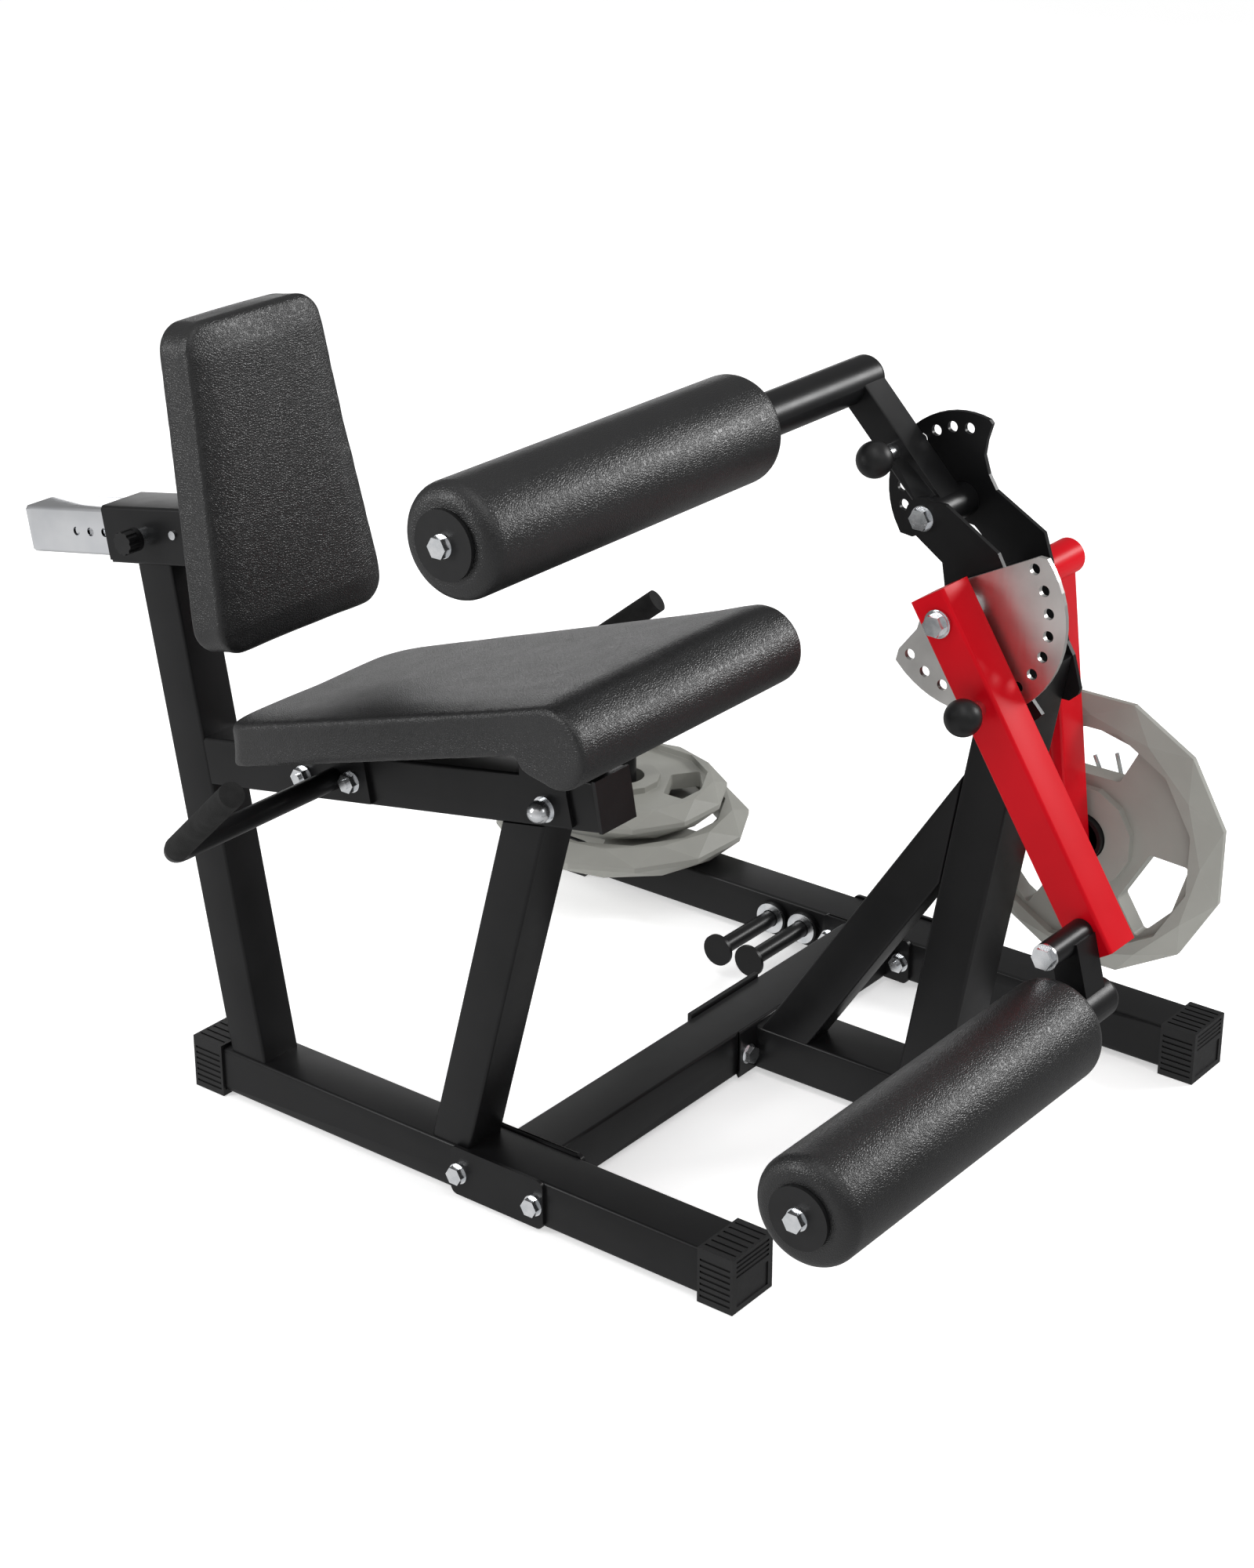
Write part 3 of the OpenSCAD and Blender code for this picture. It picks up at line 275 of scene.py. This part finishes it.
def copy_of(node, name):
    """A merged copy of a CAD node's mesh, as a piece of its own."""
    piece = bpy.data.objects.new(name, nodes[node].data.copy())
    scene.collection.objects.link(piece)
    piece.data.materials.clear()
    select_only(piece)
    bpy.ops.object.mode_set(mode="EDIT")
    bpy.ops.mesh.select_all(action="SELECT")
    bpy.ops.mesh.remove_doubles(threshold=SAME_PLACE)
    bpy.ops.mesh.dissolve_limited(angle_limit=math.radians(FLAT_WITHIN))
    bpy.ops.object.mode_set(mode="OBJECT")
    return piece


def select_sharp_edges(mesh, longer_than, angle):
    """Selects the outward edges that are long enough and whose two faces turn by more than angle."""
    faces_of = {}
    for polygon in mesh.polygons:
        for key in polygon.edge_keys:
            faces_of.setdefault(key, []).append((polygon.normal.copy(), polygon.center.copy()))
    for polygon in mesh.polygons:
        polygon.select = False
    for vertex in mesh.vertices:
        vertex.select = False
    for edge in mesh.edges:
        a, b = edge.vertices
        sides = faces_of.get((min(a, b), max(a, b)), [])
        length = (mesh.vertices[a].co - mesh.vertices[b].co).length
        if len(sides) == 2 and length > longer_than:
            (first, here), (second, there) = sides
            edge.select = first.angle(second, 0.0) > angle and (there - here).dot(first) < 0
        else:
            edge.select = False


def smooth_below(degrees):
    """Shades the active piece smooth, except across edges that turn by more."""
    bpy.ops.object.shade_smooth_by_angle(angle=math.radians(degrees))


def bevel_corners(piece, width, segments, degrees):
    """Rounds every edge that turns by more than degrees."""
    bevel = piece.modifiers.new("bevel", "BEVEL")
    bevel.width = width
    bevel.segments = segments
    bevel.limit_method = "ANGLE"
    bevel.angle_limit = math.radians(degrees)
    apply_all(piece)


def round_edges(piece, width, segments, longer_than, angle):
    """Rounds the long sharp edges of a piece, as a drawn tube has them."""
    select_sharp_edges(piece.data, longer_than, angle)
    select_only(piece)
    bpy.ops.object.mode_set(mode="EDIT")
    bpy.ops.mesh.select_mode(type="EDGE")
    bpy.ops.mesh.bevel(offset=width, segments=segments, affect="EDGES", clamp_overlap=False)
    bpy.ops.object.mode_set(mode="OBJECT")
    smooth_below(32)


def place_piece(piece, node, material):
    """Dresses a piece that stands for a CAD node and lets it ride on the node's body."""
    piece.data.materials.clear()
    piece.data.materials.append(material)
    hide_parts(node)
    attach(piece, body_of_node[node])


# Frame parts ----------------------------------------------------------------------------

TUBES = [
    "near_base_tube", "far_base_tube", "cross_tube", "tower_foot_tube", "rear_post", "front_post",
    "seat_tube", "receiver", "adjusting_tube", "tower", "tower_brace", "weight_arm", "roller_arm",
    "upper_arm",
]
TUBE_CORNER = 3.2 * MM
TUBE_SEGMENTS = 4
LONG_EDGE = 72 * MM
SHARP_TURN = 0.9  # radians
PLATE_EDGE = 1.3 * MM
WEIGHT_PLATES = ["loaded_plate", "stored_plate_lower", "stored_plate_upper"]


def finish_tubes(materials):
    for node in TUBES:
        piece = copy_of(node, node + "_drawn")
        round_edges(piece, TUBE_CORNER, TUBE_SEGMENTS, LONG_EDGE, SHARP_TURN)
        place_piece(piece, node, materials[slot_of_node[node]])


def finish_plates(materials):
    """The cast plates keep their flat facets; a small round on each edge softens the coat."""
    for node in WEIGHT_PLATES:
        piece = copy_of(node, node + "_eased")
        bevel_corners(piece, PLATE_EDGE, 2, 24)
        smooth_below(2)
        place_piece(piece, node, materials[slot_of_node[node]])


def dress_cad_nodes(materials):
    for name, node in nodes.items():
        node.data.materials.clear()
        node.data.materials.append(materials[slot_of_node[name]])
        select_only(node)
        if not node.hide_render:
            smooth_below(30)


# Padded pieces --------------------------------------------------------------------------

SEAT_SLOPE = math.atan(0.325)  # the seat rises 0.325 for each 1 that it runs forward
BACKREST_LEAN = math.radians(10)
CLOTH_FRAMES = 20
EVEN_ROUNDS = 40
FLAT_BACK = 1.4  # how fast the swelling fades out towards the flat back
DRAWN_IN = 0.15  # the share of the cap by which the tight cover is drawn in
ROLLER_EDGE = 16 * MM


def even_out(mesh, values, rounds):
    """Averages one number per vertex with its neighbours, so that no ripple is left."""
    count = len(mesh.vertices)
    pairs = np.empty(len(mesh.edges) * 2, dtype=np.int64)
    mesh.edges.foreach_get("vertices", pairs)
    first, second = pairs[0::2], pairs[1::2]
    valence = np.bincount(first, minlength=count) + np.bincount(second, minlength=count)
    for _ in range(rounds):
        total = np.bincount(first, values[second], count) + np.bincount(second, values[first], count)
        values = 0.5 * values + 0.5 * total / np.maximum(valence, 1)
    return values


def tight_cover(shape, name, voxel):
    """An even mesh that lies on the shape."""
    cover = bpy.data.objects.new(name, shape.data.copy())
    scene.collection.objects.link(cover)
    remesh = cover.modifiers.new("remesh", "REMESH")
    remesh.mode = "VOXEL"
    remesh.voxel_size = voxel
    smooth = cover.modifiers.new("smooth", "SMOOTH")
    smooth.factor = 0.5
    smooth.iterations = 4
    fit = cover.modifiers.new("fit", "SHRINKWRAP")
    fit.target = shape
    fit.wrap_method = "NEAREST_SURFACEPOINT"
    apply_all(cover)
    return cover


def puff_up(piece, back_side, cap):
    """Swells a cover with cloth pressure, by cap at most, everywhere but on its flat back."""
    mesh = piece.data
    start = [v.co.copy() for v in mesh.vertices]
    normals = [v.normal.copy() for v in mesh.vertices]
    free = [max(0.0, min(1.0, 1.0 - FLAT_BACK * n.dot(back_side))) for n in normals]
    cloth = piece.modifiers.new("cloth", "CLOTH")
    cloth.settings.use_pressure = True
    cloth.settings.uniform_pressure_force = 4.0
    cloth.settings.tension_stiffness = 25
    cloth.settings.compression_stiffness = 25
    cloth.settings.bending_stiffness = 1.5
    cloth.settings.quality = 5
    cloth.settings.effector_weights.gravity = 0.0
    for step in range(1, CLOTH_FRAMES + 1):
        scene.frame_set(step)
    apply_all(piece)
    scene.frame_set(1)
    swell = np.array([
        min(cap, max(-cap, (v.co - start[i]).dot(normals[i]))) * free[i] for i, v in enumerate(mesh.vertices)
    ])
    swell = even_out(mesh, swell, EVEN_ROUNDS) - cap * DRAWN_IN
    for i, vertex in enumerate(mesh.vertices):
        vertex.co = start[i] + normals[i] * float(swell[i])


def stuffed_pad(node, name, back_side, edge, voxel, cap, material):
    """A foam pad in a tight cover, with its edges turned over at a small radius."""
    shape = copy_of(node, name + "_shape")
    bevel_corners(shape, edge, 5, 35)
    piece = tight_cover(shape, name, voxel)
    bpy.data.objects.remove(shape)
    puff_up(piece, back_side, cap)
    finer = piece.modifiers.new("finer", "SUBSURF")
    finer.levels = finer.render_levels = 1
    apply_all(piece)
    bpy.ops.object.shade_smooth()
    place_piece(piece, node, material)


def roller_pad(node, name, material):
    """A foam roller in a tight sleeve, with turned-over ends."""
    low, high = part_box(node)
    middle = (low + high) / 2
    radius = (high.x - low.x) / 2
    bpy.ops.object.select_all(action="DESELECT")
    bpy.ops.mesh.primitive_cylinder_add(
        vertices=96, radius=radius, depth=high.y - low.y, location=middle, rotation=(math.pi / 2, 0, 0),
    )
    piece = bpy.context.active_object
    piece.name = name
    bpy.ops.object.transform_apply(location=True, rotation=True, scale=True)
    ends = {low.y, high.y}
    for item in [*piece.data.polygons, *piece.data.vertices]:
        item.select = False
    for line in piece.data.edges:
        a, b = (piece.data.vertices[i].co for i in line.vertices)
        line.select = any(abs(a.y - y) < SAME_PLACE and abs(b.y - y) < SAME_PLACE for y in ends)
    bpy.ops.object.mode_set(mode="EDIT")
    bpy.ops.mesh.select_mode(type="EDGE")
    bpy.ops.mesh.bevel(offset=ROLLER_EDGE, segments=8, affect="EDGES", clamp_overlap=False)
    bpy.ops.object.mode_set(mode="OBJECT")
    smooth_below(40)
    place_piece(piece, node, material)


# Stage and light ------------------------------------------------------------------------

FLOOR_SIZE = 90  # metres; its edges are far from the machine
FLOOR_GLOW = 0.5
WHITE = (1, 1, 1, 1)
SKY_LEVELS = ((0.3, 0.85), (0.5, 0.5), (0.7, 0.42), (0.85, 0.8))  # height from 0 to 1, and brightness
SKY_STRENGTH = 0.85


def make_floor():
    """A white floor; polished parts don't mirror it, so their undersides stay dark."""
    bpy.ops.object.select_all(action="DESELECT")
    bpy.ops.mesh.primitive_plane_add(size=FLOOR_SIZE, location=(0, 0, -0.0005))
    floor = bpy.context.active_object
    floor.name = "floor"
    material, tree, shader, where = new_material("floor_paint", "#FAFAFA", 0.9, specular=0.1)
    vary_colour(tree, shader, noise(tree, where, 900), "#F9F9F9", "#FCFCFC")
    shader.inputs["Emission Color"].default_value = WHITE
    shader.inputs["Emission Strength"].default_value = FLOOR_GLOW
    floor.data.materials.append(material)
    floor.visible_glossy = False


def area_light(name, place, target, size, power):
    data = bpy.data.lights.new(name, "AREA")
    data.shape = "RECTANGLE"
    data.size, data.size_y = size
    data.energy = power
    light = bpy.data.objects.new(name, data)
    scene.collection.objects.link(light)
    light.visible_camera = False
    light.location = place
    light.rotation_mode = "QUATERNION"
    light.rotation_quaternion = (Vector(target) - Vector(place)).to_track_quat("-Z", "Y")


def make_world():
    """White behind the machine; as light, bright overhead and dark towards the ground."""
    world = bpy.data.worlds.new("studio")
    world.use_nodes = True
    tree = world.node_tree
    tree.nodes.clear()
    where = add(tree, "ShaderNodeTexCoord")
    part = add(tree, "ShaderNodeSeparateXYZ", links={"Vector": where.outputs["Generated"]})
    height = add(tree, "ShaderNodeMapRange", {"From Min": -1.0}, {"Value": part.outputs["Z"]})
    ramp = add(tree, "ShaderNodeValToRGB", links={"Fac": height.outputs[0]})
    stops = ramp.color_ramp.elements
    stops[0].position, stops[0].color = 0.0, (0.75, 0.75, 0.75, 1)
    stops[1].position, stops[1].color = 1.0, WHITE
    for place, level in SKY_LEVELS:
        stops.new(place).color = (level, level, level, 1)
    fade = {"From Min": -1.0, "To Min": 1.15, "To Max": 0.45}
    side = add(tree, "ShaderNodeMapRange", fade, {"Value": part.outputs["Y"]})
    strength = add(tree, "ShaderNodeMath", {1: SKY_STRENGTH}, {0: side.outputs[0]}, operation="MULTIPLY")
    sky = {"Color": ramp.outputs["Color"], "Strength": strength.outputs[0]}
    light = add(tree, "ShaderNodeBackground", links=sky)
    white = add(tree, "ShaderNodeBackground", {"Color": WHITE, "Strength": 1.0})
    ray = add(tree, "ShaderNodeLightPath")
    shown = {0: ray.outputs["Is Camera Ray"], 1: light.outputs[0], 2: white.outputs[0]}
    mix = add(tree, "ShaderNodeMixShader", links=shown)
    add(tree, "ShaderNodeOutputWorld", links={"Surface": mix.outputs[0]})
    scene.world = world


def make_light():
    scene.view_settings.view_transform = "Standard"
    make_world()
    middle = (0.0, -0.1, 0.45)
    area_light("top_softbox", (0.9, -0.8, 2.8), middle, (0.9, 2.4), 14)
    area_light("back_softbox", (2.0, 2.6, 1.9), middle, (1.3, 0.8), 70)
    area_light("front_softbox", (3.0, -0.4, 2.2), middle, (0.6, 1.8), 8)
    area_light("left_softbox", (-2.0, -3.0, 1.7), middle, (0.9, 1.8), 52)
    area_light("low_softbox", (-2.0, 1.9, 0.7), (0.1, -0.3, 0.6), (1.6, 0.5), 4.5)


# Everything -----------------------------------------------------------------------------

make_camera()
leatherette = pu_leatherette()
finishes = {
    "black_paint": black_powder_coat(),
    "red_paint": red_powder_coat(),
    "bare_steel": rolled_steel(),
    "zinc": zinc_plate(),
    "bright_chrome": chrome_plate(),
    "black_plastic": moulded_pe(),
    "black_rubber": foam_rubber(),
    "leatherette": leatherette,
    "plate_grey": urethane_coat(),
}
finish_tubes(finishes)
finish_plates(finishes)
under_seat = Vector((math.sin(SEAT_SLOPE), 0, -math.cos(SEAT_SLOPE)))
behind_back = Vector((-math.cos(BACKREST_LEAN), 0, -math.sin(BACKREST_LEAN)))
stuffed_pad(
    "seat_pad", "seat_cushion", under_seat, edge=7 * MM, voxel=5 * MM, cap=4 * MM, material=leatherette,
)
stuffed_pad(
    "backrest_pad", "backrest_cushion", behind_back, edge=8 * MM, voxel=4.5 * MM, cap=4 * MM,
    material=leatherette,
)
roller_pad("lower_roller_pad", "lower_roller_sleeve", leatherette)
roller_pad("upper_roller_pad", "upper_roller_sleeve", leatherette)
dress_cad_nodes(finishes)
make_floor()
make_light()
